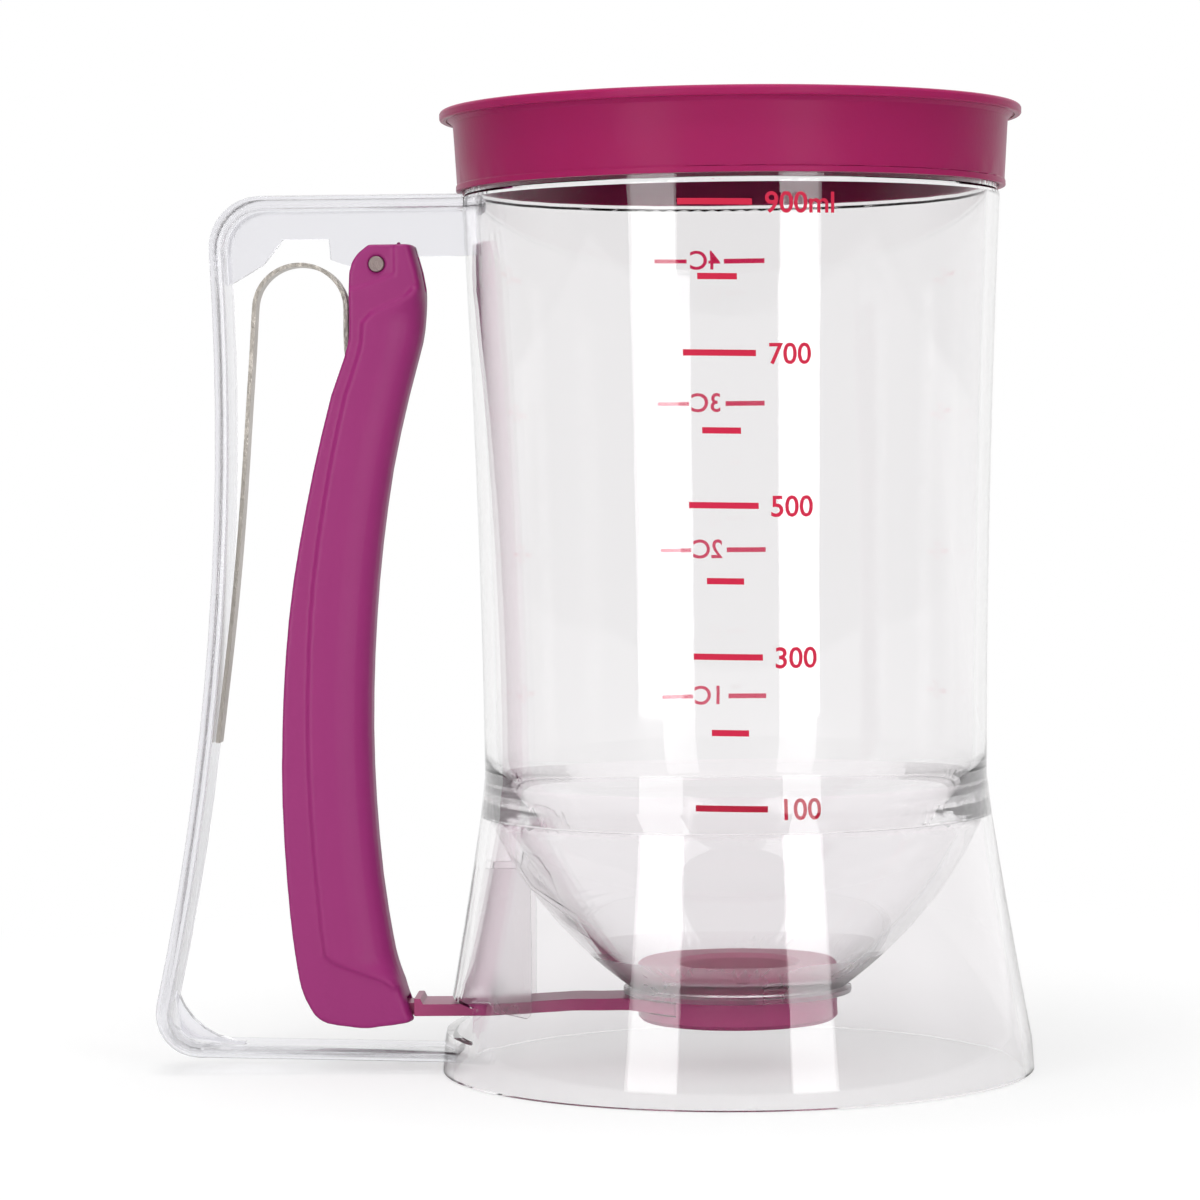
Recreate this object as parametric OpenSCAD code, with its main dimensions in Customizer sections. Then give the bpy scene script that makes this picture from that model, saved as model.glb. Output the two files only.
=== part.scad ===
// Pancake batter dispenser: a clear measuring barrel on a flared skirt, with a
// palm strap, a sprung finger lever and a sliding gate under the funnel.
// Millimetres, +Z up. The origin lies on the table, under the middle of the
// dispenser's box; the barrel's axis stands at x = axis_x, the handle towards -X.

/* [Barrel and funnel] */
// Outer radius at the mouth, before the lid's rebate
mouth_r = 52.75; // [46:0.25:60]
// Outer radius at the waist, the narrowest place
waist_r = 48.75; // [44:0.25:54]
// Height of the rim of the barrel
mouth_z = 184; // [150:1:230]
// Height of the waist
waist_z = 56; // [50:1:64]
// Height of the seam between barrel and skirt, just under the waist
seam_z = 49.6; // [46:0.1:52]
// Wall of the barrel
barrel_wall = 2.4; // [1.8:0.1:3.2]
// How slowly the barrel opens out above the waist (1 is a plain cone)
barrel_flare = 1.7; // [1:0.1:2.5]
// Radius of the hole through the funnel's floor, over the valve
outlet_r = 11.5; // [8:0.5:13]

/* [Skirt] */
// Outer radius of the foot
foot_r = 57.5; // [52:0.5:70]
// Wall of the skirt
skirt_wall = 2; // [1.6:0.1:2.6]
// Height of the nearly upright band at the foot
foot_band_h = 5.5; // [3:0.5:7]
// Height of the window's sill, where the gate's arm passes
window_sill_z = 7.8; // [6.5:0.1:9]
// Thickness of each plate that guides the arm
guide_t = 1.2; // [0.8:0.1:2]

/* [Handle strap] */
// Reach of the strap's palm face from the barrel's axis, where it is closest
strap_reach = 99.8; // [96:0.2:112]
// Height at which the strap is closest to the barrel
strap_waist_z = 130; // [120:1:140]
// Radius of the strap's long bow
strap_bow_r = 532; // [420:2:800]
// Width of the strap across the palm
strap_w = 17; // [14:0.5:26]
// Thickness of the strap
strap_t = 2.6; // [2:0.1:3.2]
// Thickness of the bottom bar
foot_bar_t = 1.9; // [1.5:0.1:2.6]
// Height of the top of the strap's upper bar
strap_top_z = 169.8; // [164:0.2:169.8]
// Height of the underside of the bottom bar, at its corner
strap_foot_z = 3.2; // [2.6:0.1:4.5]
// Slope of the bottom bar down to the skirt, in degrees
foot_bar_slope = 1.4; // [0:0.1:1.6]
// Thickness of the web under the upper bar
web_t = 2.4; // [1.6:0.1:3.2]

/* [Lever] */
// Distance of the lever's pin from the barrel's axis
pin_reach = 68.3; // [66:0.1:71]
// Height of the lever's pin below the top of the strap
pin_drop = 13.3; // [12.8:0.1:15]
// Radius of the lever's pin
pin_r = 1.5; // [1.2:0.05:1.9]
// Half width of the lever's flanges and head
lever_half_w = 7.5; // [6.8:0.1:9]
// How far the grip stands proud of the flanges
grip_raise = 0.8; // [0.4:0.1:1.2]
// Wall of the lever
lever_wall = 1.8; // [1.4:0.1:2.2]

/* [Spring] */
// Thickness of the spring strip
strip_t = 0.8; // [0.6:0.05:1.2]
// Width of the spring strip
strip_w = 6; // [4:0.5:6.5]

/* [Gate valve] */
// Outer radius of the valve housing
housing_r = 19.4; // [18.8:0.1:20.4]
// Height of the underside of the valve housing
housing_z = 9.3; // [8:0.1:9.6]
// Breadth of the housing's rim beside the gate plate
gate_rim = 4.2; // [3.6:0.1:5]
// Thickness of the gate and its arm
gate_t = 2.3; // [1.8:0.1:2.4]
// Half width of the arm
arm_half_w = 6.2; // [5:0.1:7]
// Height of the arm's underside, outside the skirt
arm_z = 10.8; // [10.4:0.1:11.2]

/* [Lid] */
// How far the lid's turned-out rim stands out from the top of its band
lid_rim = 2.6; // [1.8:0.1:6]
// Depth of the lid's band below its top face
lid_h = 15.5; // [12:0.1:15.6]
// Wall of the lid
lid_wall = 1.3; // [1:0.1:1.6]

/* [Clearances] */
// Gap between pieces that slide or seat
slide_gap = 0.2; // [0.1:0.05:0.3]
// Gap all round between the lid's band and the rim
lid_gap = 0.3; // [0.2:0.05:0.5]
// Radial clearance of the pin in the web
pin_gap = 0.05; // [0.02:0.01:0.1]
// Gap in the bonded socket between barrel and skirt
bond_gap = 0.04; // [0.02:0.01:0.1]

/* [Hidden] */
$fn = 96;

clear_plastic = [0.88, 0.88, 0.93, 0.35];
plum = [0.55, 0.12, 0.36];
steel = [0.62, 0.60, 0.57];
cut = 1;       // how far a cutting shape runs past the face that it opens

// ---- smooth curves -------------------------------------------------------

// A point on a cubic Bezier curve
function bezier3(p0, p1, p2, p3, t) =
    pow(1 - t, 3) * p0 + 3 * pow(1 - t, 2) * t * p1 + 3 * (1 - t) * t * t * p2 + pow(t, 3) * p3;
// A point on a quadratic Bezier curve
function bezier2(p0, p1, p2, t) = pow(1 - t, 2) * p0 + 2 * (1 - t) * t * p1 + t * t * p2;
// Rises from 0 to 1 between a and b, with no corner at either end
function ease(a, b, v) =
    let (u = min(1, max(0, (v - a) / (b - a)))) u * u * (3 - 2 * u);
// Value at v of a smooth curve through [place, value] stations, in rising order
function station_slope(s, i) =
    i == 0 ? (s[1][1] - s[0][1]) / (s[1][0] - s[0][0])
    : i == len(s) - 1 ? (s[i][1] - s[i - 1][1]) / (s[i][0] - s[i - 1][0])
    : (s[i + 1][1] - s[i - 1][1]) / (s[i + 1][0] - s[i - 1][0]);
function station_index(s, v, i = 0) =
    i >= len(s) - 2 || v < s[i + 1][0] ? i : station_index(s, v, i + 1);
function through(s, v) =
    let (i = station_index(s, v), h = s[i + 1][0] - s[i][0], u = (v - s[i][0]) / h,
         m0 = station_slope(s, i) * h, m1 = station_slope(s, i + 1) * h)
    (2 * pow(u, 3) - 3 * u * u + 1) * s[i][1] + (pow(u, 3) - 2 * u * u + u) * m0
    + (3 * u * u - 2 * pow(u, 3)) * s[i + 1][1] + (pow(u, 3) - u * u) * m1;

// A closed solid skinned over sections of n points each, where point i of a
// section faces point n - 1 - i across the section's own thickness
module skin(sections) {
    n = len(sections[0]);
    last = (len(sections) - 1) * n;
    polyhedron([for (section = sections) each section], concat(
        [for (k = [0:n:last - n], i = [0:n - 1]) [k + i, k + (i + 1) % n, k + n + (i + 1) % n]],
        [for (k = [0:n:last - n], i = [0:n - 1]) [k + i, k + n + (i + 1) % n, k + n + i]],
        [for (i = [0:n / 2 - 2]) [i, n - 1 - i, n - 2 - i, i + 1]],
        [for (i = [0:n / 2 - 2]) [last + i, last + i + 1, last + n - 2 - i, last + n - 1 - i]]));
}

// ---- worked-out sizes ----------------------------------------------------

pin_z = strap_top_z - pin_drop;
lid_seat_r = mouth_r - 1.25;           // rebated rim inside the lid's band
rebate_z = mouth_z - lid_h + 1.1;      // shoulder under the lid's band
funnel_top_z = seam_z - 1;             // where the funnel leaves the skirt's wall
bowl_start_z = seam_z + 12;            // where the inside starts to draw in
gate_z = arm_z + 0.9;                  // underside of the gate plate
slot_top_z = gate_z + gate_t + slide_gap;
collar_bottom_z = slot_top_z + 0.5;    // short collar that holds the valve
collar_r = housing_r + slide_gap + 1.5;
collar_flange_r = collar_r + 1.1;
collar_flange_t = 0.9;
floor_under_z = collar_bottom_z + 2.3; // flat floor of the funnel
floor_z = floor_under_z + 2.3;
seat_ring_r = housing_r + 0.1;         // the seat's ring, flush over the housing
floor_r = seat_ring_r + 1.5;
neck_r = outlet_r + 3.1;               // the seat's neck, through the floor
gate_half_w = housing_r - gate_rim;    // half width of the gate plate
peg_z = strap_top_z - 1.9;             // the strap's upper peg
peg_r = 1.5;
peg_head_r = 2.1;
peg_head_h = 1.3;
lower_peg_z = strap_foot_z - 0.2;
lower_peg_r = 0.7;

// Outer radius of the barrel at height z
function barrel_r(z) =
    waist_r + (mouth_r - waist_r) * pow((z - waist_z) / (mouth_z - waist_z), barrel_flare);
// Outer radius of the skirt at height z, and of the barrel's foot down to the seam
foot_draw = 0.4;                       // how much the foot band leans in
skirt_curve = 1.1;                     // how slowly the skirt opens out (1 is a plain cone)
function skirt_r(z) =
    z < foot_band_h ? foot_r - foot_draw * z / foot_band_h
    : waist_r + (foot_r - foot_draw - waist_r)
        * pow(max(0, waist_z - z) / (waist_z - foot_band_h), skirt_curve);
function body_r(z) = z < waist_z ? skirt_r(z) : barrel_r(z);
spigot_r = skirt_r(seam_z) - skirt_wall - bond_gap;

// Centres of the strap's two corners, both tangent to its long bow
top_corner_r = 10;
foot_corner_r = 8.5;
bow_x = -strap_reach - strap_bow_r;
corner_top_z = strap_top_z - top_corner_r;
corner_foot_z = strap_foot_z + foot_corner_r;
corner_top_x = bow_x + sqrt(pow(strap_bow_r + top_corner_r, 2) - pow(corner_top_z - strap_waist_z, 2));
corner_foot_x = bow_x + sqrt(pow(strap_bow_r + foot_corner_r, 2) - pow(strap_waist_z - corner_foot_z, 2));
bow_top_a = asin((corner_top_z - strap_waist_z) / (strap_bow_r + top_corner_r));
bow_foot_a = asin((strap_waist_z - corner_foot_z) / (strap_bow_r + foot_corner_r));
// Centres the dispenser's box over the origin
axis_x = (foot_corner_r - corner_foot_x - foot_r) / 2;

// ---- barrel, funnel and collar -------------------------------------------

barrel_steps = 16;
bowl_steps = 22;
shoulder_round = 1;
// Underside of the funnel, from the spigot down to the collar
function funnel_outside(t) =
    bezier2([spigot_r, funnel_top_z], [spigot_r - 8, 29.8], [collar_r, collar_bottom_z + 1.3], t);
// Inside of the funnel, from the barrel's wall down to the flat floor
function funnel_inside(t) =
    let (r = barrel_r(bowl_start_z) - barrel_wall)
    bezier3([r, bowl_start_z], [r - 0.2, bowl_start_z - 13], [r - 8.4, 33], [floor_r, floor_z], t);
function barrel_height(i, z0, z1) = z0 + (z1 - z0) * i / barrel_steps;

module barrel_profile() {
    top = rebate_z - shoulder_round;
    polygon(concat(
        [for (i = [0:barrel_steps]) let (z = barrel_height(i, seam_z, top)) [body_r(z), z]],
        [for (a = [30:30:90]) [barrel_r(rebate_z) - shoulder_round * (1 - cos(a)),
                               rebate_z - shoulder_round * (1 - sin(a))]],
        [[lid_seat_r, rebate_z], [lid_seat_r, mouth_z]],
        [for (i = [barrel_steps:-1:1])
            let (z = barrel_height(i, bowl_start_z, mouth_z)) [barrel_r(z) - barrel_wall, z]],
        [for (i = [0:bowl_steps]) funnel_inside(i / bowl_steps)],
        [[neck_r + slide_gap, floor_z], [neck_r + slide_gap, floor_under_z],
         [housing_r + slide_gap, floor_under_z], [housing_r + slide_gap, collar_bottom_z],
         [collar_flange_r, collar_bottom_z], [collar_flange_r, collar_bottom_z + collar_flange_t]],
        [for (i = [bowl_steps:-1:0]) funnel_outside(i / bowl_steps)],
        [[spigot_r, seam_z]]));
}

module barrel() {
    color(clear_plastic) difference() {
        translate([axis_x, 0, 0]) rotate_extrude() barrel_profile();
        translate([axis_x - barrel_r(peg_z), 0, peg_z])
            rotate([0, 90, 0]) cylinder(r = peg_r + bond_gap, h = barrel_wall * 4, center = true);
    }
}

// ---- skirt ---------------------------------------------------------------

skirt_steps = 8;
skirt_top_z = seam_z - bond_gap;
skirt_zs = concat([0],
    [for (i = [0:skirt_steps]) foot_band_h + (skirt_top_z - foot_band_h) * i / skirt_steps]);
window_top_z = arm_z + gate_t + 1.4;    // clear above the arm
window_x = 50.2;                        // the window's ends, measured from the axis
guide_inner_x = 39.7;                   // the guides' inner edge
guide_foot_z = 10.4;
guide_top_z = seam_z - 18;

// Side view of a guide plate: deep at its inner edge, cut away over the window
module guide_outline() {
    polygon([[-skirt_r(window_top_z) + skirt_wall / 2, window_top_z - 0.9],
             [-47.9, window_top_z - 0.9], [-46.8, window_top_z - 2.8],
             [-guide_inner_x - 2.4, guide_foot_z + 0.3], [-guide_inner_x - 1, guide_foot_z],
             [-guide_inner_x - 0.2, guide_foot_z + 0.6], [-guide_inner_x, guide_foot_z + 1.6],
             [-guide_inner_x, guide_top_z + 8],
             [-skirt_r(guide_top_z + 8) + skirt_wall / 2, guide_top_z + 8],
             [-skirt_r(guide_top_z) + skirt_wall / 2, guide_top_z]]);
}

module skirt() {
    color(clear_plastic) translate([axis_x, 0, 0]) difference() {
        union() {
            rotate_extrude() polygon(concat(
                [for (z = skirt_zs) [skirt_r(z), z]],
                [for (i = [len(skirt_zs) - 1:-1:0]) [skirt_r(skirt_zs[i]) - skirt_wall, skirt_zs[i]]]));
            for (side = [-1, 1])
                translate([0, side * (arm_half_w + 3 * slide_gap + guide_t / 2), 0])
                    rotate([90, 0, 0]) linear_extrude(guide_t, center = true) guide_outline();
        }
        // room for the funnel above the guides
        rotate_extrude() polygon(concat(
            [for (i = [0:bowl_steps]) funnel_outside(i / bowl_steps) + [bond_gap, -bond_gap]],
            [[0, collar_bottom_z], [0, seam_z + cut], [spigot_r + bond_gap, seam_z + cut]]));
        // window for the gate's arm
        translate([-foot_r - cut, -foot_r, window_sill_z])
            cube([foot_r + cut - window_x, 2 * foot_r, window_top_z - window_sill_z]);
        // hole for the strap's lower peg
        translate([-skirt_r(lower_peg_z), 0, lower_peg_z]) rotate([0, 90, 0])
            cylinder(r = lower_peg_r + bond_gap, h = skirt_wall * 4, center = true);
    }
}

// ---- handle frame --------------------------------------------------------

strap_round = 0.8;          // rounding of the strap's long edges
strap_end_x = -barrel_r(peg_z) + 4;     // where the upper bar starts, inside the saddle cut
bar_end_x = -foot_r + 3;
arc_steps = 8;
bow_steps = 14;
// Stations round the strap: point on its palm face, the way in, and thickness
strap_path = concat(
    [[strap_end_x, strap_top_z, 270, strap_t]],
    [for (i = [0:arc_steps]) let (a = 90 + (90 + bow_top_a) * i / arc_steps)
        [corner_top_x + top_corner_r * cos(a), corner_top_z + top_corner_r * sin(a), a + 180, strap_t]],
    [for (i = [1:bow_steps - 1]) let (a = bow_top_a - (bow_top_a + bow_foot_a) * i / bow_steps)
        [bow_x + strap_bow_r * cos(a), strap_waist_z + strap_bow_r * sin(a), a, strap_t]],
    [for (i = [0:arc_steps])
        let (a = 180 - bow_foot_a + (90 + bow_foot_a - foot_bar_slope) * i / arc_steps)
        [corner_foot_x + foot_corner_r * cos(a), corner_foot_z + foot_corner_r * sin(a), a - 180,
         strap_t + (foot_bar_t - strap_t) * i / arc_steps]],
    [[bar_end_x, corner_foot_z - foot_corner_r * cos(foot_bar_slope)
        - (bar_end_x - corner_foot_x) * tan(foot_bar_slope), 90 - foot_bar_slope, foot_bar_t]]);

// Section across the strap at one station: round-edged, strap_w wide
function across(s) =
    let (w = strap_w / 2, r = strap_round, c = r * (1 - cos(45)),
         side = [[0, w - r], [c, w - c], [r, w], [s[3] - r, w], [s[3] - c, w - c], [s[3], w - r]])
    [for (p = concat([for (q = side) [q[0], -q[1]]], [for (i = [5:-1:0]) side[i]]))
        [s[0] + p[0] * cos(s[2]), p[1], s[1] + p[0] * sin(s[2])]];

// Side view of the thin web: it hangs under the upper bar, clears the spring's
// arch and comes down round the lever's pin
web_lug_r = 5;
boss_half_w = lever_half_w - lever_wall - 3 * slide_gap;
arch_x = -(pin_reach + strap_reach - strap_t) / 2 - 0.85;    // middle of the spring's arch
module web_outline() {
    top = strap_top_z - strap_t / 2;
    lip_z = pin_z + 1.7;
    polygon([[-strap_reach - 0.2, corner_top_z], [-strap_reach + 1.4, pin_z - 4],
             [-strap_reach + 4.5, pin_z - 2.3], [arch_x - 7.2, pin_z + 0.4], [arch_x - 5, pin_z + 3.1],
             [arch_x - 3.4, pin_z + 5.2], [arch_x + 5.6, pin_z + 5.2], [arch_x + 5.9, pin_z + 1.2],
             [arch_x + 8, pin_z + 0.4], [-pin_reach - web_lug_r, pin_z - 0.2],
             [-pin_reach, pin_z - web_lug_r / 2], [-pin_reach + web_lug_r - 0.3, pin_z + 0.4],
             [-pin_reach + 7, lip_z], [strap_end_x, lip_z], [strap_end_x, top],
             [corner_top_x, top], [corner_top_x - 0.45 * top_corner_r, top - 0.18 * top_corner_r],
             [corner_top_x - 0.8 * top_corner_r, top - 0.48 * top_corner_r]]);
}

// Side view of the gusset in the bottom corner
gusset_r = 14;
module gusset_outline() {
    x = corner_foot_x - foot_corner_r + strap_t - 0.6;
    z = strap_foot_z + foot_bar_t - 0.8;
    polygon(concat([[x + 2, z + 2], [x + gusset_r, z]],
        [for (a = [270:-12:180])
            [x + gusset_r + 0.8 + gusset_r * cos(a), z + gusset_r + 1 + gusset_r * sin(a)]],
        [[x + 0.4, z + gusset_r]]));
}

module handle_frame() {
    color(clear_plastic) translate([axis_x, 0, 0]) union() {
        difference() {
            union() {
                skin([for (s = strap_path) across(s)]);
                rotate([90, 0, 0]) linear_extrude(web_t, center = true) web_outline();
                rotate([90, 0, 0]) linear_extrude(web_t, center = true) gusset_outline();
                // boss that centres the lever on the web
                translate([-pin_reach, 0, pin_z]) rotate([90, 0, 0])
                    cylinder(r = web_lug_r - 1.4, h = 2 * boss_half_w, center = true);
            }
            // saddles against the barrel and against the skirt's foot
            translate([0, 0, pin_z]) cylinder(r1 = barrel_r(pin_z) + bond_gap,
                r2 = barrel_r(strap_top_z + cut) + bond_gap, h = strap_top_z + cut - pin_z);
            translate([0, 0, -cut]) cylinder(r1 = foot_r + bond_gap + foot_draw * cut / foot_band_h,
                r2 = skirt_r(2 * foot_band_h), h = 2 * foot_band_h + cut);
            translate([-pin_reach, 0, pin_z]) rotate([90, 0, 0])
                cylinder(r = pin_r + pin_gap, h = 4 * lever_half_w, center = true);
        }
        // upper peg through the barrel's wall, staked over inside
        translate([-barrel_r(peg_z) - cut, 0, peg_z]) rotate([0, 90, 0])
            cylinder(r = peg_r, h = barrel_wall + 1.6 * cut);
        translate([-barrel_r(peg_z) + barrel_wall + slide_gap, 0, peg_z]) rotate([0, 90, 0])
            cylinder(r1 = peg_head_r, r2 = peg_head_r * 0.6, h = peg_head_h);
        // lower peg into the skirt's wall
        translate([-skirt_r(lower_peg_z) - cut, 0, lower_peg_z]) rotate([0, 90, 0])
            cylinder(r = lower_peg_r, h = skirt_wall + cut);
    }
}

// ---- lever ---------------------------------------------------------------

lever_foot_z = arm_z - 2.2;
lever_head_z = pin_z + 3.8;
// Back and nose of the lever: its share of the lever's length, and how far out
// from the pin it stands there
back_line = [[0, 4.7], [0.0066, 11.3], [0.0257, 14.5], [0.062, 16.6], [0.1806, 18.7], [0.3388, 19.5],
              [0.5234, 17.8], [0.6816, 13.7], [0.8266, 8.3], [0.8728, 5.7], [0.9651, 5.3], [0.9862, 4],
              [1, 1.5]];
front_line = [[0, 2.7], [0.0066, -5], [0.0158, -5.3], [0.0422, -3.9], [0.1015, -1.5], [0.2202, 1],
              [0.3784, 2.1], [0.5498, 0.9], [0.708, -2.2], [0.8266, -6.3], [0.886, -8.7], [0.9453, -9],
              [1, -7]];
// Width of the flange beside the raised grip, over the lever's length
flange_line = [[0, 5.5], [0.1806, 5.6], [0.4311, 4.6], [0.6486, 3.3], [0.8662, 2.4], [1, 2.4]];
function share(z) = (z - lever_foot_z) / (lever_head_z - lever_foot_z);
function lever_back(z) = -pin_reach - through(back_line, share(z));
function lever_front(z) = -pin_reach - through(front_line, share(z));
// Heights between which the grip's lower edge slants, and its upper edge
grip_low = [lever_foot_z + 8, lever_foot_z + 14.2];
grip_high = [pin_z - 11.2, pin_z - 4.7];
nose_steps = 8;
ramp = 0.5;                   // width of the step up to the grip

// Line round the nose, from the back edge on one side to that on the other:
// straight to x = s, up by `up` over the ramp, then round to the nose at x1
function nose_line(x0, s, x1, w, up) =
    let (start = s + ramp,
         half = concat([[x0, w], [s, w]], [for (i = [0:nose_steps]) let (a = 90 * i / nose_steps)
             [start + (x1 - start) * pow(sin(a), 0.9), i == nose_steps ? 0 : (w + up) * pow(cos(a), 0.62)]]))
    concat(half, [for (i = [len(half) - 2:-1:0]) [half[i][0], -half[i][1]]]);
// Section of the lever at height z: a deep channel with its nose to the barrel
function lever_section(z) =
    let (x0 = lever_back(z), x1 = lever_front(z), room = x1 - x0,
         wall = min(lever_wall, room / 3),
         ends = max(ease(grip_low[1], grip_low[0], z), ease(grip_high[0], grip_high[1], z)),
         edge = x0 + min(through(flange_line, share(z)), room * 0.4),
         up = z > grip_low[0] && z < grip_high[1] ? grip_raise : 0,
         outer = nose_line(x0, edge + (x1 - 2.2 - edge) * ends * min(1, room / 8), x1, lever_half_w, up),
         inner = nose_line(x0, x1 - wall - min(5, room * 0.5), x1 - wall, lever_half_w - wall, 0))
    concat([for (p = outer) [p[0], p[1], z]],
           [for (i = [len(inner) - 1:-1:0]) [inner[i][0], inner[i][1], z]]);
// Heights of the sections: close together where the outline turns
lever_zs = concat(
    [for (d = [0, 0.3, 0.6, 1, 1.6, 2.6, 3.9, 5.8, 7.9, 8.1, 9.4, 11, 12.6, 14.2, 17.4]) lever_foot_z + d],
    [for (i = [0:15]) lever_foot_z + 22 + (pin_z - 18 - lever_foot_z - 22) * i / 15],
    [for (d = [15, 13, 11.2, 9.5, 7.9, 6.3, 4.8, 4.6, 1.5, -0.5, -2.1, -3.8]) pin_z - d]);

hook_top_z = arm_z + gate_t + 3;        // the arm's hook, behind the nose
link_slot_z = arm_z + gate_t + 0.8;     // the slot's top edge
tongue_half_w = 3.8;
web_slot_half_w = web_t / 2 + 0.6;
web_slot_z = pin_z - 5;

module trigger_lever() {
    color(plum) translate([axis_x, 0, 0]) difference() {
        skin([for (z = lever_zs) lever_section(z)]);
        translate([-pin_reach, 0, pin_z]) rotate([90, 0, 0])
            cylinder(r = pin_r, h = 4 * lever_half_w, center = true);
        // slot in the nose where the web passes
        translate([-pin_reach + 2, -web_slot_half_w, web_slot_z]) cube([12, 2 * web_slot_half_w, 12]);
        // slot in the nose for the arm's tongue, open below
        translate([-pin_reach, -tongue_half_w - 2 * slide_gap, lever_foot_z - cut])
            cube([12, 2 * (tongue_half_w + 2 * slide_gap), link_slot_z - lever_foot_z + cut]);
    }
}

// ---- pin and spring ------------------------------------------------------

module pivot_pin() {
    color(steel) translate([axis_x - pin_reach, 0, pin_z]) rotate([90, 0, 0])
        cylinder(r = pin_r, h = 2 * lever_half_w, center = true);
}

// Mid line of the strip: up the lever's channel, over the arch, down the strap
arch_z = pin_z - 8.3;
arch_rx = (strap_reach - strap_t - pin_reach) / 2 - 5.5;
arch_rz = 8.6;
arch_steps = 14;
strip_low_z = pin_z - 58;               // end of the lever's leg
strip_end_z = pin_z - 92.5;             // end of the strap's leg
leg_steps = 9;
function strap_face_x(z) = bow_x + strap_t + sqrt(pow(strap_bow_r, 2) - pow(z - strap_waist_z, 2));
function lever_leg(u) =
    let (z = strip_low_z + (arch_z - 7 - strip_low_z) * u,
         lie = lever_front(z) - lever_wall - strip_t / 2 - 2 * slide_gap)
    [lie + (arch_x + arch_rx - 0.25 - lie) * ease(0.25, 1, u), z];
function strap_leg(u) =
    let (z = strip_end_z + (arch_z - 8 - strip_end_z) * u, lie = strap_face_x(z) + strip_t / 2 + slide_gap)
    [lie + (arch_x - arch_rx - 0.5 - lie) * pow(u, 1.8), z];
strip_path = concat([for (i = [0:leg_steps]) lever_leg(i / leg_steps)],
    [for (i = [0:arch_steps]) let (a = 180 * i / arch_steps)
        [arch_x + arch_rx * cos(a), arch_z + arch_rz * sin(a)]],
    [for (i = [leg_steps:-1:0]) strap_leg(i / leg_steps)]);
function strip_section(i) =
    let (n = len(strip_path), a = strip_path[max(0, i - 1)], b = strip_path[min(n - 1, i + 1)],
         d = (b - a) / norm(b - a) * strip_t / 2, p = strip_path[i], w = strip_w / 2)
    [[p[0] - d[1], w, p[1] + d[0]], [p[0] - d[1], -w, p[1] + d[0]],
     [p[0] + d[1], -w, p[1] - d[0]], [p[0] + d[1], w, p[1] - d[0]]];
module return_spring() {
    color(steel) translate([axis_x, 0, 0]) skin([for (i = [0:len(strip_path) - 1]) strip_section(i)]);
}

// ---- gate valve ----------------------------------------------------------

gate_lap = 1;                           // how far the closed plate covers past the outlet
gate_back_x = gate_half_w - outlet_r - gate_lap;    // centre of the plate's round front edge
gate_tail_x = 0.62 * housing_r;         // where the plate starts to narrow to the arm
neck_x = gate_tail_x + gate_half_w - arm_half_w;    // and where it has narrowed
link_x = -lever_front(arm_z + gate_t / 2) - 0.5;    // shoulder in front of the lever's nose
hook_x = link_x + lever_wall + 2.7;
hook_t = 1.6;
tab_h = 3.4;                            // height of the shoulder's tab

module gate_slide() {
    color(plum) translate([axis_x, 0, 0]) {
        translate([0, 0, gate_z]) linear_extrude(gate_t) polygon(concat(
            [for (a = [-90:6:90]) [-gate_back_x + gate_half_w * cos(a), gate_half_w * sin(a)]],
            [[-gate_tail_x, gate_half_w], [-neck_x, arm_half_w], [-neck_x - 9, arm_half_w],
             [-neck_x - 9, -arm_half_w], [-neck_x, -arm_half_w], [-gate_tail_x, -gate_half_w]]));
        // cranked arm with its shoulder
        rotate([90, 0, 0]) linear_extrude(2 * arm_half_w, center = true)
            polygon([[-neck_x - 7, gate_z], [-neck_x - 11, gate_z], [-guide_inner_x - 8.3, arm_z],
                     [-link_x, arm_z], [-link_x, arm_z + tab_h], [-link_x + 1.2, arm_z + tab_h],
                     [-link_x + 1.7, arm_z + gate_t], [-guide_inner_x - 8.3, arm_z + gate_t],
                     [-neck_x - 11, gate_z + gate_t], [-neck_x - 7, gate_z + gate_t]]);
        // tongue through the nose, with its hook
        rotate([90, 0, 0]) linear_extrude(2 * tongue_half_w, center = true)
            polygon([[-link_x + 1, arm_z], [-hook_x - hook_t, arm_z], [-hook_x - hook_t, hook_top_z - 0.6],
                     [-hook_x - hook_t + 0.6, hook_top_z], [-hook_x, hook_top_z], [-hook_x, arm_z + gate_t],
                     [-link_x + 1, arm_z + gate_t]]);
    }
}

module valve_housing() {
    color(plum) translate([axis_x, 0, 0]) difference() {
        rotate_extrude() polygon([[outlet_r + 0.6, housing_z], [housing_r - 0.8, housing_z],
            [housing_r, housing_z + 0.8], [housing_r, floor_under_z - bond_gap],
            [neck_r + slide_gap, floor_under_z - bond_gap], [neck_r + slide_gap, slot_top_z],
            [outlet_r, slot_top_z], [outlet_r, housing_z + 0.6]]);
        translate([0, 0, gate_z - slide_gap]) linear_extrude(gate_t + 2 * slide_gap) {
            translate([-gate_back_x, 0]) circle(gate_half_w + slide_gap);
            translate([-housing_r - cut, -gate_half_w - slide_gap])
                square([housing_r + cut - gate_back_x, 2 * (gate_half_w + slide_gap)]);
        }
    }
}

seat_ring_t = 2;
module outlet_seat() {
    color(plum) translate([axis_x, 0, 0]) rotate_extrude() polygon([
        [outlet_r, slot_top_z], [neck_r, slot_top_z], [neck_r, floor_z + bond_gap],
        [seat_ring_r, floor_z + bond_gap], [seat_ring_r, floor_z + seat_ring_t - 0.6],
        [seat_ring_r - 0.6, floor_z + seat_ring_t], [outlet_r + 0.8, floor_z + seat_ring_t],
        [outlet_r, floor_z + seat_ring_t - 0.8]]);
}

// ---- lid -----------------------------------------------------------------

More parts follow.
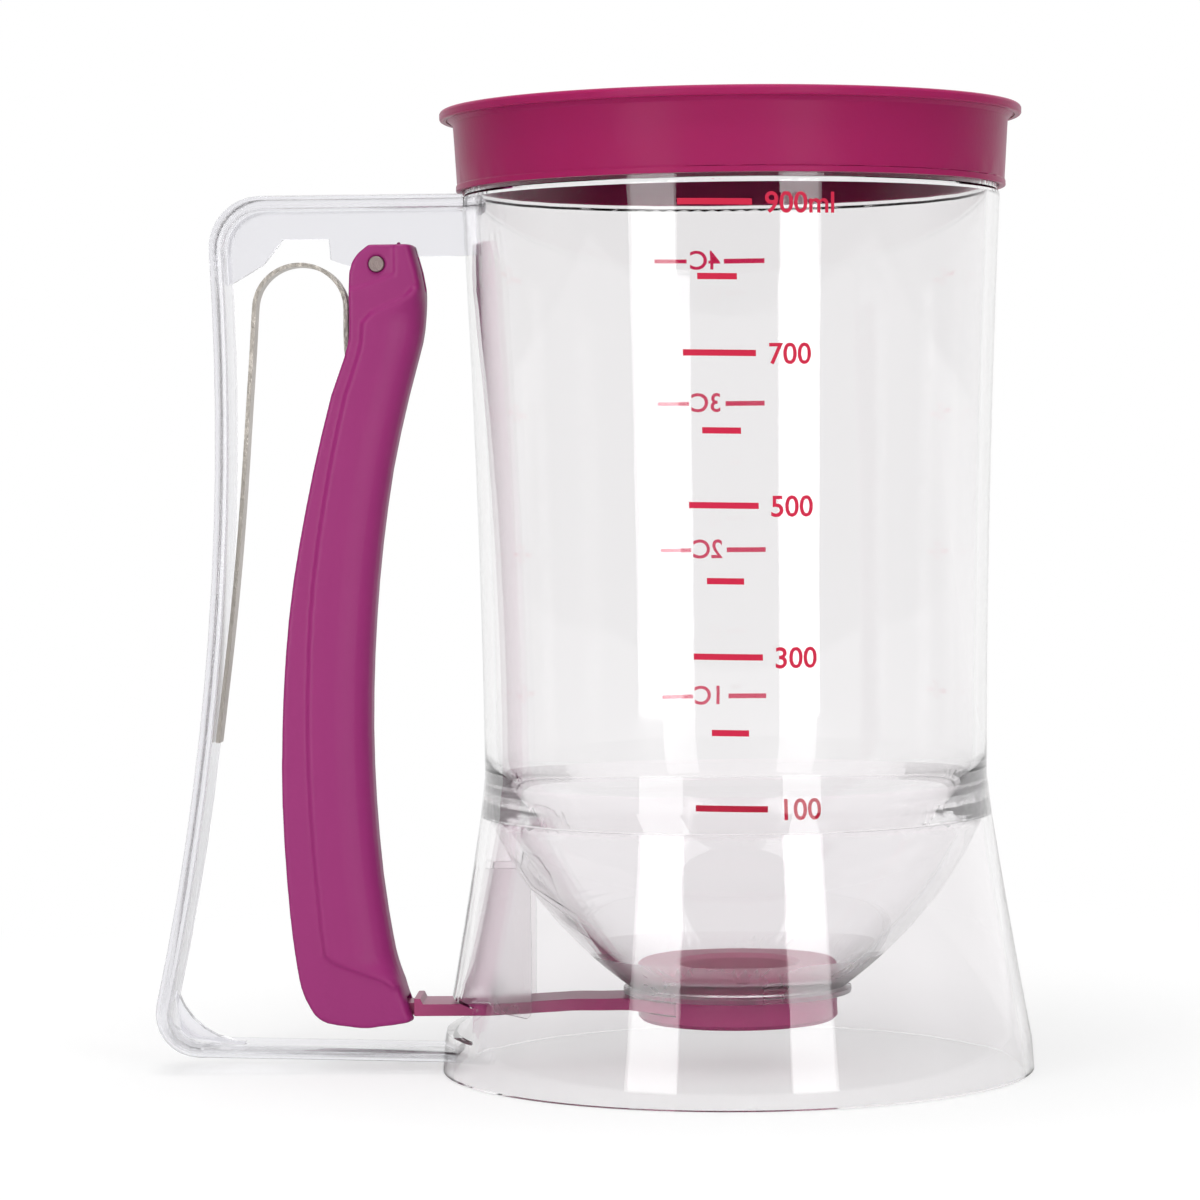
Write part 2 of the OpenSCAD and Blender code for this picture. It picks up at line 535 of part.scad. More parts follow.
lid_draft = 0.5;                        // how much wider the band is at its top
lid_top_t = 1.75;
lid_lip_t = 1.3;
module lid() {
    under = mouth_z + bond_gap;
    top = under + lid_top_t;
    band_r = lid_seat_r + lid_gap;
    bottom = top - lid_h;
    rim_r = band_r + lid_wall + lid_draft + lid_rim;
    color(plum) translate([axis_x, 0, 0]) rotate_extrude() polygon([
        [0, under], [band_r, under], [band_r, bottom + 0.3], [band_r + 0.3, bottom],
        [band_r + lid_wall, bottom], [band_r + lid_wall, bottom + 1],
        [band_r + lid_wall - 0.2, bottom + 1.3], [band_r + lid_wall + lid_draft, top - 2.6],
        [rim_r - lid_lip_t, top - 1.5], [rim_r - lid_lip_t, top - 1.9], [rim_r - 0.3, top - 1.9],
        [rim_r, top - 1.6], [rim_r, top - 0.6], [rim_r - 0.2, top - 0.2], [rim_r - 0.6, top], [0, top]]);
}

lid();
barrel();
skirt();
handle_frame();
trigger_lever();
pivot_pin();
return_spring();
gate_slide();
outlet_seat();
valve_housing();
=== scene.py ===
import math
import bpy
import bmesh
from mathutils import Matrix, Vector


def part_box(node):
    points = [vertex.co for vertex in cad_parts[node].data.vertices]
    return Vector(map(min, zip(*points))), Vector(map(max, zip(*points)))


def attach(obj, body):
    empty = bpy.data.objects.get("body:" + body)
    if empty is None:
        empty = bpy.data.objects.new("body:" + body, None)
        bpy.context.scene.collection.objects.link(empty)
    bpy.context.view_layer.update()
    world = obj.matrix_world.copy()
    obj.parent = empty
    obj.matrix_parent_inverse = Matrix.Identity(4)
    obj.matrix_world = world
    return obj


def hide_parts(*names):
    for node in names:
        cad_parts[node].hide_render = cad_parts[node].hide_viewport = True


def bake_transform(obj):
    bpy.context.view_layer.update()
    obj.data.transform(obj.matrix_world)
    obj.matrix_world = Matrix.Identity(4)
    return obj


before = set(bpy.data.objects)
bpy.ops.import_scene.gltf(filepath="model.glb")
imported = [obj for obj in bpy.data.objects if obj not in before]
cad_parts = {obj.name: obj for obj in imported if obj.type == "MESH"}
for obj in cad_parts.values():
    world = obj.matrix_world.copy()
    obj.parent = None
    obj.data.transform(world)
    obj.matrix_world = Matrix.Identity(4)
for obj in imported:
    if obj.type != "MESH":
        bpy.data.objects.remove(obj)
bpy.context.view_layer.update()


# ---- Barrel and skirt -----------------------------------------------------
# The measuring barrel with its funnel and the flared foot are two mouldings in
# a clear styrene-like plastic, polished, and welded to each other at the waist.

class Wire:
    """A shader socket that does sums: an expression adds its Math nodes."""

    def __init__(self, finish, socket):
        self.finish, self.socket = finish, socket

    def _sum(self, operation, a, b):
        return self.finish.node("ShaderNodeMath", {"operation": operation}, {0: a, 1: b})[0]

    def __add__(self, other):
        return self._sum("ADD", self, other)

    def __radd__(self, other):
        return self._sum("ADD", other, self)

    def __sub__(self, other):
        return self._sum("SUBTRACT", self, other)

    def __rsub__(self, other):
        return self._sum("SUBTRACT", other, self)

    def __mul__(self, other):
        return self._sum("MULTIPLY", self, other)

    def __rmul__(self, other):
        return self._sum("MULTIPLY", other, self)


class Finish:
    """A material's or the world's node tree, with one way to add a node."""

    def __init__(self, owner):
        owner.use_nodes = True
        self.tree = owner.node_tree
        self.tree.nodes.clear()

    def node(self, kind, settings=None, inputs=None):
        made = self.tree.nodes.new(kind)
        for name, value in (settings or {}).items():
            setattr(made, name, value)
        for key, value in (inputs or {}).items():
            socket = made.inputs[key]
            if isinstance(value, Wire):
                self.tree.links.new(value.socket, socket)
            else:
                socket.default_value = value
        return [Wire(self, out) for out in made.outputs]


BLOTCH_SCALE = 60.0         # size of the patches in the gloss
DRIFT_SCALE = 34.0          # size of the slow changes of colour
SKIN_DEPTH = 0.0004         # depth of the finest bumps, in metres


def grain(finish, scale, detail=3.0, stretch=(1, 1, 1)):
    """Noise in the row frame, as a wire from 0 to 1, with an optional stretch."""
    place = finish.node("ShaderNodeTexCoord")[3]
    place = finish.node("ShaderNodeMapping", None, {"Vector": place, "Scale": stretch})[0]
    noise = {"Vector": place, "Scale": scale, "Detail": detail}
    return finish.node("ShaderNodeTexNoise", None, noise)[0]


def blend_of(finish, amount, colour, other):
    """A colour between two others."""
    inputs = {0: amount, 6: (*colour, 1), 7: (*other, 1)}
    return finish.node("ShaderNodeMix", {"data_type": "RGBA"}, inputs)[2]


def material(name, colour, rough, other=None, bump=0.0, bump_scale=900.0, rough_spread=0.08,
             stretch=(1, 1, 1), **fixed):
    """A Principled material with a wandering roughness, a fine bump and, where
    another colour is given, slow drifts towards it."""
    made = bpy.data.materials.new(name)
    finish = Finish(made)
    blotch = grain(finish, BLOTCH_SCALE, 4.0, stretch)
    inputs = {"Base Color": (*colour, 1),
              "Roughness": blotch * rough_spread + (rough - rough_spread / 2)}
    if other:
        drift = grain(finish, DRIFT_SCALE, 5.0, stretch)
        inputs["Base Color"] = blend_of(finish, drift, colour, other)
    inputs.update(fixed)
    if bump:
        skin = grain(finish, bump_scale, 2.0, stretch)
        raised = {"Strength": bump, "Distance": SKIN_DEPTH, "Height": skin}
        inputs["Normal"] = finish.node("ShaderNodeBump", None, raised)[0]
    surface = finish.node("ShaderNodeBsdfPrincipled", None, inputs)[0]
    finish.node("ShaderNodeOutputMaterial", None, {"Surface": surface})
    return made


SAME_POINT = 2e-6           # points closer than this are one point, in metres
FLAT_ANGLE = 0.004          # faces that meet flatter than this are one flat, in radians
EDGE_ANGLE = math.radians(32)


def joined_copy(node, flats=False):
    """The CAD solid as a bmesh, its points joined and, if asked, its flats merged."""
    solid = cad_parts[node]
    bm = bmesh.new()
    bm.from_mesh(solid.data)
    bm.transform(solid.matrix_world)
    bmesh.ops.remove_doubles(bm, verts=bm.verts, dist=SAME_POINT)
    if flats:
        bmesh.ops.dissolve_limit(bm, angle_limit=FLAT_ANGLE, verts=bm.verts, edges=bm.edges)
    return bm


def placed(bm, name, finish=None, corner=14.0):
    """An object from a bmesh, soft shaded up to the corner angle in degrees."""
    for face in bm.faces:
        face.smooth = True
    mesh = bpy.data.meshes.new(name)
    bm.to_mesh(mesh)
    bm.free()
    mesh.set_sharp_from_angle(angle=math.radians(corner))
    made = bpy.data.objects.new(name, mesh)
    bpy.context.scene.collection.objects.link(made)
    if finish:
        mesh.materials.append(finish)
    return made


def moulded(node, name, finish, body, edge=0.0, corner=14.0):
    """A smooth piece in place of a CAD solid, with its edges broken by a small radius."""
    made = placed(joined_copy(node, edge > 0), name, finish, corner)
    if edge:
        broken = made.modifiers.new("broken_edges", "BEVEL")
        broken.width, broken.segments, broken.angle_limit = edge, 2, EDGE_ANGLE
        broken.harden_normals = True
    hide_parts(node)
    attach(made, body)
    return made


STYRENE_IOR = 1.45
DRAWN_UP = (1, 1, 0.25)     # flow lines in the clear plastic run upright


def clear_plastic(name, colour, rough=0.02, bump=0.015, bump_scale=60.0, solid=1.0):
    """Clear styrene: light goes through it and it bends the view."""
    through = {"Transmission Weight": 1.0, "IOR": STYRENE_IOR, "Alpha": solid}
    return material(name, colour, rough, bump=bump, bump_scale=bump_scale, rough_spread=rough,
                    stretch=DRAWN_UP, **through)


SEAM_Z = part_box("skirt")[1].z
COLLAR_Z = 0.0222           # top of the collar round the seat, which isn't polished
BEND_LOW, BEND_HIGH = 0.0484, 0.0565    # the bend inside the waist
BEND_R = 0.0467             # what lies within this radius is inside
jug_axis = (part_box("skirt")[0].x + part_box("skirt")[1].x) / 2


def from_axis(point):
    """Distance of a point from the jug's upright axis."""
    return math.hypot(point.x - jug_axis, point.y)


wall_clear = clear_plastic("clear_wall", (0.946, 0.938, 0.942))
barrel = moulded("barrel", "measuring_barrel", wall_clear, "container", corner=8.0)
barrel_finishes = barrel.data.materials
# The funnel's copy of the wall plastic is tinted whiter than the wall: painted light, for the white
# table and lamp that its sloping walls reflect.
barrel_finishes.append(clear_plastic("clear_funnel_painted_light", (1.0, 0.995, 1.0)))
barrel_finishes.append(clear_plastic("collar_matt", (1.0, 0.97, 0.985), 0.26, 0.1, 90.0))
barrel_finishes.append(clear_plastic("inner_shoulder", (1.0, 0.955, 0.98), 0.03, 0.03, 90.0, solid=0.7))
FUNNEL, COLLAR, BEND = 1, 2, 3

# The thick bend is partly open, so that light trapped in the wall gets out of it.
for polygon in barrel.data.polygons:
    corners = [barrel.data.vertices[v].co for v in polygon.vertices]
    within = max(from_axis(c) for c in corners) < BEND_R
    if within and min(c.z for c in corners) > BEND_LOW and max(c.z for c in corners) < BEND_HIGH:
        polygon.material_index = BEND
    elif polygon.center.z < SEAM_Z:
        polygon.material_index = COLLAR if polygon.center.z < COLLAR_Z else FUNNEL

skirt_clear = clear_plastic("clear_skirt", (0.972, 0.961, 0.967))
skirt = moulded("skirt", "flared_skirt", skirt_clear, "container", corner=32.0)

# The two plates inside the skirt that guide the arm aren't polished.
INSIDE_R = 0.0472           # what lies within the skirt's wall, at the seam
INSIDE_SPREAD = 0.0079      # and by how much that grows down to the foot
SKIRT_CURVE = 1.1
GUIDES = 1
skirt.data.materials.append(clear_plastic("guide_matt_plastic", (0.985, 0.965, 0.975), 0.3, 0.1, 90.0))
for polygon in skirt.data.polygons:
    down = max(0.0, 1 - polygon.center.z / SEAM_Z)
    if from_axis(polygon.center) < INSIDE_R + INSIDE_SPREAD * down ** SKIRT_CURVE:
        polygon.material_index = GUIDES
        polygon.use_smooth = False

# ---- Palm strap -----------------------------------------------------------
# The strap and its web are a separate moulding in the same plastic, a little
# milkier and bluer in its thick parts. Its pegs go through barrel and skirt.

strap_clear = clear_plastic("clear_strap_plastic", (0.872, 0.868, 0.900), 0.17, 0.06, 120.0)
moulded("handle_frame", "palm_strap", strap_clear, "container", edge=0.0005, corner=20.0)

# ---- Lid ------------------------------------------------------------------
# A shallow cap in plum polypropylene that pushes over the barrel's rim, with a
# satin skin. Its colour drifts a little where the plastic flowed.

LID_GLOW = {"Specular IOR Level": 0.07, "Subsurface Weight": 0.3,
            "Subsurface Radius": (1.0, 0.25, 0.4), "Subsurface Scale": 0.0025}
lid_plastic = material("lid_plum_plastic", (0.340, 0.018, 0.108), 0.32, (0.305, 0.016, 0.092),
                       bump=0.05, rough_spread=0.12, **LID_GLOW)
moulded("lid", "push_on_lid", lid_plastic, "lid", edge=0.0003)

# ---- Valve under the funnel -----------------------------------------------
# Three plum mouldings: a seat ring round the outlet, the housing that holds it
# up, and the sliding gate whose arm runs out through the skirt to the lever.

LOW_SHINE = {"Specular IOR Level": 0.3}
plum_plastic = material("valve_plum_plastic", (0.32, 0.042, 0.135), 0.34, (0.36, 0.058, 0.165),
                        bump=0.06, rough_spread=0.1, **LOW_SHINE)
moulded("gate_slide", "sliding_gate", plum_plastic, "gate", edge=0.00015)
moulded("valve_housing", "valve_housing_ring", plum_plastic, "container", edge=0.0002)
seat_plastic = material("seat_plum_plastic", (0.60, 0.17, 0.29), 0.4, (0.66, 0.20, 0.33),
                        bump=0.06, rough_spread=0.1, **LOW_SHINE)
moulded("outlet_seat", "outlet_seat_ring", seat_plastic, "container", edge=0.0002)

# ---- Lever ----------------------------------------------------------------
# The squeeze lever is one deep plum channel, open to the strap, with a raised
# grip on its nose side. Its head has a sunk cheek round the pin and a small nub.

lever_plastic = material("lever_plum_plastic", (0.275, 0.017, 0.146), 0.42, (0.31, 0.023, 0.158),
                         bump=0.1, rough_spread=0.14, **LOW_SHINE)
PIN_X = (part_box("pivot_pin")[0].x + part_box("pivot_pin")[1].x) / 2
PIN_Z = (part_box("pivot_pin")[0].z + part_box("pivot_pin")[1].z) / 2
HALF_CHEEK = 0.0075         # half the width over the head's cheeks
CLEAR_OF_CHEEK = 0.002      # a cut starts this far outside the cheek
CHEEK_SINK = 0.00045
COUNTERSINK = 0.0009
COUNTERSINK_R = 1.9         # in millimetres, as the outlines below are
SUNK_CHEEK = [(3.6, 6), (3.6, -2.1), (0.2, -3.3), (-3.2, -4.6), (-9, -5.5), (-9, 6)]
UPRIGHT_NOTCH = [(8.1, -0.2), (8.1, -3.2), (8.7, -3.2), (8.7, -0.2)]
LEVEL_NOTCH = [(7.7, 0.9), (7.7, 0), (12, 0), (12, 0.9)]
NUB = [(3.2, 3.2), (4.4, 3.2), (4.2, 4.7), (3.5, 4.5)]
NUB_HALF = 0.0005
UPRIGHT_NOTCH_BED, LEVEL_NOTCH_BED = 0.0052, 0.0045     # how far from the middle they end
SKIN_VOXEL = 0.00042


def prism(outline, near, deep):
    """A solid between two depths, from an outline in millimetres right of and above the pin."""
    bm = bmesh.new()
    ends = [[bm.verts.new((PIN_X + x / 1000, y, PIN_Z + z / 1000)) for x, z in outline]
            for y in (near, deep)]
    bm.faces.new(ends[0])
    bm.faces.new(ends[1][::-1])
    for i in range(len(outline)):
        j = (i + 1) % len(outline)
        bm.faces.new((ends[0][j], ends[0][i], ends[1][i], ends[1][j]))
    bmesh.ops.recalc_face_normals(bm, faces=bm.faces)
    return placed(bm, "tool")


def round_outline(radius, count=24):
    """A circle round the pin."""
    turns = [math.tau * i / count for i in range(count)]
    return [(radius * math.cos(turn), radius * math.sin(turn)) for turn in turns]


def bake(piece):
    """The piece's mesh as its modifiers leave it."""
    bpy.context.view_layer.update()
    seen = piece.evaluated_get(bpy.context.evaluated_depsgraph_get())
    mesh = bpy.data.meshes.new_from_object(seen)
    piece.modifiers.clear()
    piece.data = mesh


def cut_or_add(piece, tool, operation):
    """One exact cut or join, written into the piece's mesh."""
    step = piece.modifiers.new("step", "BOOLEAN")
    step.operation, step.solver, step.object = operation, "EXACT", tool
    bake(piece)
    bpy.data.objects.remove(tool)


lever = placed(joined_copy("trigger_lever"), "squeeze_lever")
for side in (-1, 1):
    face = side * (HALF_CHEEK + CLEAR_OF_CHEEK)
    for outline, bed in ((SUNK_CHEEK, HALF_CHEEK - CHEEK_SINK),
                         (round_outline(COUNTERSINK_R), HALF_CHEEK - COUNTERSINK),
                         (UPRIGHT_NOTCH, UPRIGHT_NOTCH_BED), (LEVEL_NOTCH, LEVEL_NOTCH_BED)):
        cut_or_add(lever, prism(outline, face, side * bed), "DIFFERENCE")
cut_or_add(lever, prism(NUB, -NUB_HALF, NUB_HALF), "UNION")
skin = lever.modifiers.new("even_skin", "REMESH")
skin.mode, skin.voxel_size, skin.use_smooth_shade = "VOXEL", SKIN_VOXEL, True
soften = lever.modifiers.new("soft_edges", "SMOOTH")
soften.factor, soften.iterations = 0.5, 2
bake(lever)
for polygon in lever.data.polygons:
    polygon.use_smooth = True
lever.data.materials.clear()
lever.data.materials.append(lever_plastic)
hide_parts("trigger_lever")
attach(lever, "trigger")

# ---- Pin ------------------------------------------------------------------
# A short plain steel pin, cropped to length, so that its ends are rough and
# dull. It is pressed in the lever's head and turns in the web.

steel = material("pin_steel", (0.36, 0.29, 0.28), 0.45, (0.25, 0.19, 0.18), bump=0.5,
                 bump_scale=1400.0, rough_spread=0.2, Metallic=0.7)
moulded("pivot_pin", "head_pin", steel, "trigger", edge=0.00025)

# ---- Spring ---------------------------------------------------------------
# A hairpin of flat sheared strip steel, dull with a burred edge. One leg lies
# on the strap, the other inside the lever's channel, and the arch gives.

strip_steel = material("spring_strip_steel", (0.62, 0.58, 0.53), 0.4, (0.36, 0.33, 0.29), bump=0.5,
                       bump_scale=900.0, rough_spread=0.3, stretch=(1, 0.3, 1), Metallic=0.75)
QUAD_ANGLE, QUAD_SHAPE = 0.6, 3.1       # how uneven two triangles may be to make one quad
STRIP_EDGE = 1.0                        # edges bent more than this stay sharp, in radians
bm = joined_copy("return_spring")
bmesh.ops.join_triangles(bm, faces=bm.faces, angle_face_threshold=QUAD_ANGLE,
                         angle_shape_threshold=QUAD_SHAPE)
crease = bm.edges.layers.float.new("crease_edge")
for line in bm.edges:
    if line.calc_face_angle(0) > STRIP_EDGE:
        line[crease] = 1.0
spring = placed(bm, "hairpin_spring", corner=50.0)
rounds = spring.modifiers.new("smooth_bend", "SUBSURF")
rounds.levels = rounds.render_levels = 2
bake(spring)
spring.data.materials.clear()
spring.data.materials.append(strip_steel)
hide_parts("return_spring")
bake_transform(spring)

# ---- Printed scale --------------------------------------------------------
# Screen-printed bars and plain numbers on the near side in millilitres, and
# on the far side in cups. The ink is a red film, brighter where it is thin.

PRINT_GAP = 0.00005         # the film stands this far off the wall
LETTER_HEIGHT = 0.0054
LETTER_WEIGHT = 0.00008     # how much the strokes are thickened
LETTER_SLICE = 0.0006       # the letters are cut this fine, so that they bend
LETTER_SLICES = 40
BAR_STEPS = 12
NEAR_STROKE, FAR_STROKE, FAR_FINE_STROKE = 0.00115, 0.001, 0.0008
NEAR_LEAN = 0.021           # the near bars slope down to the right by this share
WAIST_R, WAIST_Z = 0.04875, 0.056
FOOT_SPREAD, FOOT_DROP = 0.00835, 0.0505        # from the waist down to the foot's band
MOUTH_SPREAD, MOUTH_RISE = 0.004, 0.128         # from the waist up to the mouth
BARREL_CURVE = 1.7

ink = material("scale_ink", (0.60, 0.008, 0.060), 0.5, (0.50, 0.006, 0.035), rough_spread=0.1,
               **{"Specular IOR Level": 0.25})


def barrel_radius(z):
    """Outer radius of the barrel at height z, in metres."""
    if z < WAIST_Z:
        return WAIST_R + FOOT_SPREAD * ((WAIST_Z - z) / FOOT_DROP) ** SKIRT_CURVE
    return WAIST_R + MOUTH_SPREAD * ((z - WAIST_Z) / MOUTH_RISE) ** BARREL_CURVE


def wrap(flat, angle, z, far):
    """Bends a flat piece round the barrel, its origin at that angle and height."""
    side = -1 if far else 1
    for vertex in flat.data.vertices:
        height = z + vertex.co.y
        radius = barrel_radius(height) + PRINT_GAP + vertex.co.z
        turn = math.radians(angle) + vertex.co.x / radius
        vertex.co = (jug_axis + side * radius * math.sin(turn), -side * radius * math.cos(turn), height)


def printed_bar(z, start, stop, far, stroke=NEAR_STROKE):
    """A flat bar between two angles, cut into short pieces so that it bends."""
    bm = bmesh.new()
    length = math.radians(stop - start) * barrel_radius(z)
    lean = 0.0 if far else NEAR_LEAN
    rows = []
    for i in range(BAR_STEPS + 1):
        x = length * i / BAR_STEPS
        rows.append([bm.verts.new((x, side * stroke / 2 - lean * x, 0)) for side in (-1, 1)])
    for a, b in zip(rows, rows[1:]):
        bm.faces.new((a[0], b[0], b[1], a[1]))
    made = placed(bm, "bar")
    wrap(made, start, z, far)
    return made


def printed_words(text, z, start, far):
    """Plain numbers as a flat mesh, fine enough to bend round the barrel."""
    curve = bpy.data.curves.new("words", "FONT")
    curve.body, curve.size, curve.align_y, curve.offset = text, LETTER_HEIGHT, "CENTER", LETTER_WEIGHT
    curve.resolution_u = 6
    letters = bpy.data.objects.new("words", curve)
    bpy.context.scene.collection.objects.link(letters)
    bpy.context.view_layer.update()
    seen = letters.evaluated_get(bpy.context.evaluated_depsgraph_get())
    mesh = bpy.data.meshes.new_from_object(seen)
    bpy.data.objects.remove(letters)
    bm = bmesh.new()
    bm.from_mesh(mesh)
    for i in range(LETTER_SLICES):
        bmesh.ops.bisect_plane(bm, geom=bm.verts[:] + bm.edges[:] + bm.faces[:],
                               plane_co=(i * LETTER_SLICE, 0, 0), plane_no=(1, 0, 0))
    made = placed(bm, "words")
    wrap(made, start, z, far)
    return made


def print_layer(pieces, name, finish):
    """One printed layer from several flat meshes."""
    bm = bmesh.new()
    for piece in pieces:
        bm.from_mesh(piece.data)
        bpy.data.objects.remove(piece)
    made = placed(bm, name, finish)
    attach(made, "container")
    return made


# Each named line: height, angles of its two ends, words and the angle they start at.
NAMED_LINES = ((0.1652, -10.75, 4.34, "900ml", 6.8), (0.1378, -10.1, 5.0, "700", 7.5),
               (0.110, -9.3, 5.4, "500", 7.8), (0.0823, -8.7, 6.1, "300", 8.5),
               (0.0545, -8.6, 6.9, "100", 9.2))
SHORT_LINES = ((0.1516, -6.9, 1.2), (0.1236, -6.3, 1.8), (0.0961, -5.7, 2.2), (0.0683, -5, 3))
WORDS_DROP = 0.0006         # the words sit this far below their line
marks = []
for z, start, stop, text, words_at in NAMED_LINES:
    marks.append(printed_bar(z, start, stop, False))
    marks.append(printed_words(text, z - WORDS_DROP, words_at, False))
for z, start, stop in SHORT_LINES:
    marks.append(printed_bar(z, start, stop, False))
print_layer(marks, "scale_millilitres", ink)

# The far side's film is thin, and the light of the room comes through it.
FILM_THROUGH = 0.65
far_ink = bpy.data.materials.new("scale_ink_thin")
finish = Finish(far_ink)
thin = grain(finish, 400.0)
film = blend_of(finish, thin, (0.60, 0.010, 0.075), (0.5, 0.008, 0.05))
film = finish.node("ShaderNodeBsdfPrincipled", None, {"Base Color": film, "Roughness": 0.5})[0]
through = finish.node("ShaderNodeBsdfTranslucent", None, {"Color": (1.0, 0.035, 0.15, 1)})[0]
surface = finish.node("ShaderNodeMixShader", None, {0: FILM_THROUGH, 1: film, 2: through})[0]
finish.node("ShaderNodeOutputMaterial", None, {"Surface": surface})

CUP_LINES = ((0.1589, "4C"), (0.1296, "3C"), (0.0995, "2C"), (0.0694, "1C"))
CUP_BAR, CUP_WORDS_AT, CUP_FINE_BAR = (-7.8, 1.6), 2.6, (10.4, 18.4)
marks = []
for z, text in CUP_LINES:
    marks.append(printed_bar(z, *CUP_BAR, True, FAR_STROKE))
    marks.append(printed_words(text, z, CUP_WORDS_AT, True))
    marks.append(printed_bar(z, *CUP_FINE_BAR, True, FAR_FINE_STROKE))
print_layer(marks, "scale_cups", far_ink)

# ---- Table, backdrop, lamps and camera ------------------------------------
# A plain white table that runs out into a white room, two tall soft lamps in
# front that draw upright bright strips on the barrel, and a wide one above.


def rays_of(finish):
    """The Light Path answers by name."""
    return {wire.socket.name: wire for wire in finish.node("ShaderNodeLightPath")}


def depth_of(finish, place):
    """How far a place or a direction lies towards the back, +Y."""
    return finish.node("ShaderNodeSeparateXYZ", None, {0: place})[1]


def compared(finish, operation, a, b):
    """The larger or smaller of two, or whether one is above the other."""
    return finish.node("ShaderNodeMath", {"operation": operation}, {0: a, 1: b})[0]


def eased(finish, value, low, high, at_low, at_high):
    """A soft passage from one level to another while the value goes from low to high."""
    inputs = {0: value, 1: low, 2: high, 3: at_low, 4: at_high}
    return finish.node("ShaderNodeMapRange", {"interpolation_type": "SMOOTHSTEP"}, inputs)[0]


TABLE_GAP = 0.0002          # the foot stands this far above the table's plane
TABLE_CORNERS = [(-6, -3, 0), (6, -3, 0), (6, 9, 0), (-6, 9, 0)]
NEAR_GLOW = 0.45            # how much of the white shows under the jug, where its shadow lies
table_mesh = bpy.data.meshes.new("table_top")
table_mesh.from_pydata(TABLE_CORNERS, [], [(0, 1, 2, 3)])
table = bpy.data.objects.new("table_top", table_mesh)
table.location.z = -TABLE_GAP
bpy.context.scene.collection.objects.link(table)
table_white = bpy.data.materials.new("table_white")
finish = Finish(table_white)
rays = rays_of(finish)
place = finish.node("ShaderNodeTexCoord")[3]
behind = finish.node("ShaderNodeMapRange", None, {0: depth_of(finish, place), 1: 0.2, 2: 0.8})[0]
seen = compared(finish, "MAXIMUM", rays["Is Camera Ray"], rays["Is Glossy Ray"] * behind)
seen = compared(finish, "MAXIMUM", seen, rays["Is Transmission Ray"])
from_jug = {0: place, 1: (jug_axis, 0.0, 0.0)}
from_jug = finish.node("ShaderNodeVectorMath", {"operation": "SUBTRACT"}, from_jug)[0]
out = finish.node("ShaderNodeVectorMath", {"operation": "LENGTH"}, {0: from_jug})[1]
away = eased(finish, out, 0.055, 0.3, NEAR_GLOW, 1.0)
matt = finish.node("ShaderNodeBsdfDiffuse", None, {"Color": (0.86, 0.86, 0.86, 1)})[0]
brightness = 1.22 - (away - NEAR_GLOW) * 0.4
glow = finish.node("ShaderNodeEmission", None, {"Color": (1, 1, 1, 1), "Strength": brightness})[0]
surface = finish.node("ShaderNodeMixShader", None, {0: seen * away, 1: matt, 2: glow})[0]
finish.node("ShaderNodeOutputMaterial", None, {"Surface": surface})
table_mesh.materials.append(table_white)

# The white room: white where it is seen, darker to the sides where plastic
# bends the view there, and plain soft light for everything that is lit by it.
MANY_BOUNCES, AFTER_MANY = 6.5, 0.8
world = bpy.data.worlds.new("white_room")
bpy.context.scene.world = world
finish = Finish(world)
rays = rays_of(finish)
camera_ray, bent, bounces = rays["Is Camera Ray"], rays["Is Transmission Ray"], rays["Ray Depth"]
forward = depth_of(finish, finish.node("ShaderNodeTexCoord")[0])
to_back = eased(finish, forward, 0.1, 0.85, 0.45, 1.0)
to_front = eased(finish, forward, -0.6, 0.0, 0.06, 1.0)
mirrored = eased(finish, forward, 0.45, 0.98, 0.1, 1.0)
straight_front = eased(finish, forward, -0.7, -0.98, 0.0, 1.0)
lit = compared(finish, "MINIMUM", rays["Diffuse Depth"], 1.0)
inside = compared(finish, "MAXIMUM", bent, compared(finish, "GREATER_THAN", bounces, 1.5))
seen = inside * to_back * to_front + (1 - inside) * mirrored
long_way = compared(finish, "GREATER_THAN", bounces, MANY_BOUNCES)
seen = (1 - long_way) * seen + long_way * AFTER_MANY
room = (1 - lit) * seen + lit * (bent * 0.7 + 0.14 + straight_front * 1.3)
strength = camera_ray + (1 - camera_ray) * room
white = finish.node("ShaderNodeBackground", None, {0: (1, 1, 1, 1), 1: strength})[0]
finish.node("ShaderNodeOutputWorld", None, {"Surface": white})


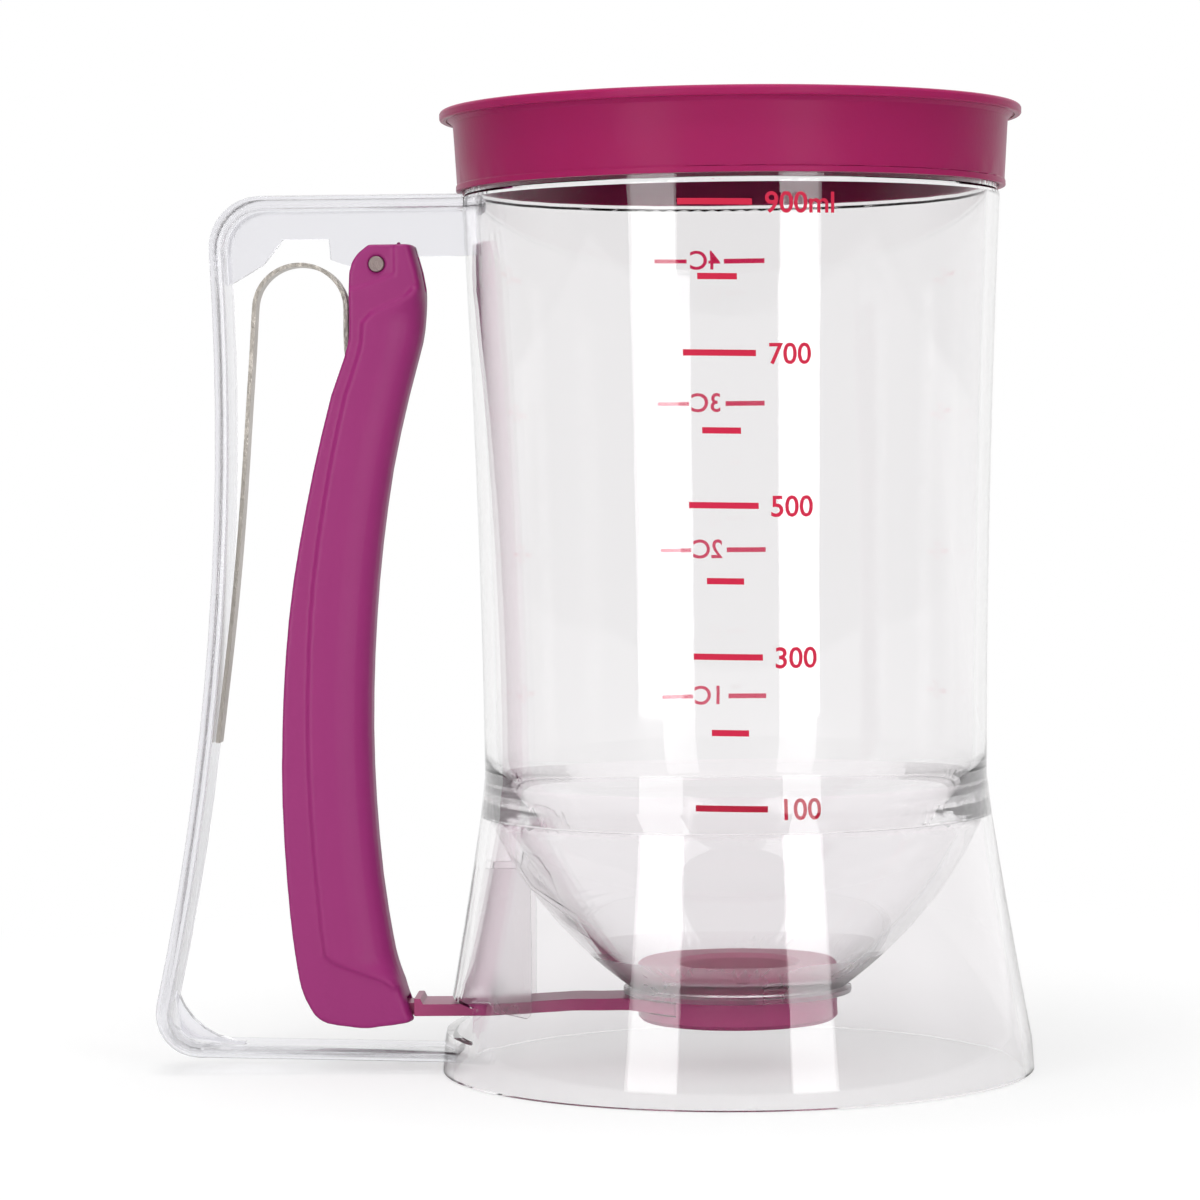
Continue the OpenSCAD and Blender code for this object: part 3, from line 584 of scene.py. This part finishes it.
def soft_lamp(name, place, target, width, height, power):
    """A soft rectangular lamp that faces a point."""
    data = bpy.data.lights.new(name, "AREA")
    data.shape, data.size, data.size_y, data.energy = "RECTANGLE", width, height, power
    made = bpy.data.objects.new(name, data)
    made.location = place
    made.rotation_euler = (Vector(target) - Vector(place)).to_track_quat("-Z", "Y").to_euler()
    bpy.context.scene.collection.objects.link(made)
    return made


JUG_MIDDLE = (jug_axis, 0, 0.1)
STRIP_HEIGHT = 0.62
soft_lamp("strip_left", (jug_axis - 0.464, -0.724, 0.16), JUG_MIDDLE, 0.30, STRIP_HEIGHT, 2.5)
soft_lamp("strip_right", (jug_axis + 0.415, -0.753, 0.16), JUG_MIDDLE, 0.26, STRIP_HEIGHT, 2.2)
soft_lamp("overhead", (jug_axis, -0.1, 0.9), (jug_axis, 0, 0), 0.8, 0.8, 7.0)

# The camera stands 0.8 m in front of the barrel's axis, just above its middle.
DISTANCE, EYE_Z = 0.80133, 0.11940
PITCH, YAW, ROLL = 0.0353, 0.0325, -0.0102      # down, to the left and over, in radians
LENS, SENSOR_WIDTH, CLIP_START = 123.684, 36, 0.01
level = Vector((-math.sin(YAW), math.cos(YAW), 0))
right = Vector((math.cos(YAW), math.sin(YAW), 0))
ahead = level * math.cos(PITCH) - Vector((0, 0, math.sin(PITCH)))
up = level * math.sin(PITCH) + Vector((0, 0, math.cos(PITCH)))
rolled_right = right * math.cos(ROLL) + up * math.sin(ROLL)
rolled_up = up * math.cos(ROLL) - right * math.sin(ROLL)
camera_data = bpy.data.cameras.new("camera")
camera_data.lens, camera_data.sensor_width = LENS, SENSOR_WIDTH
camera_data.clip_start = CLIP_START
camera = bpy.data.objects.new("camera", camera_data)
camera.matrix_world = Matrix((
    (rolled_right.x, rolled_up.x, -ahead.x, jug_axis),
    (rolled_right.y, rolled_up.y, -ahead.y, -DISTANCE),
    (rolled_right.z, rolled_up.z, -ahead.z, EYE_Z),
    (0, 0, 0, 1)))
bpy.context.scene.collection.objects.link(camera)
bpy.context.scene.camera = camera
bpy.context.scene.view_settings.view_transform = "Standard"
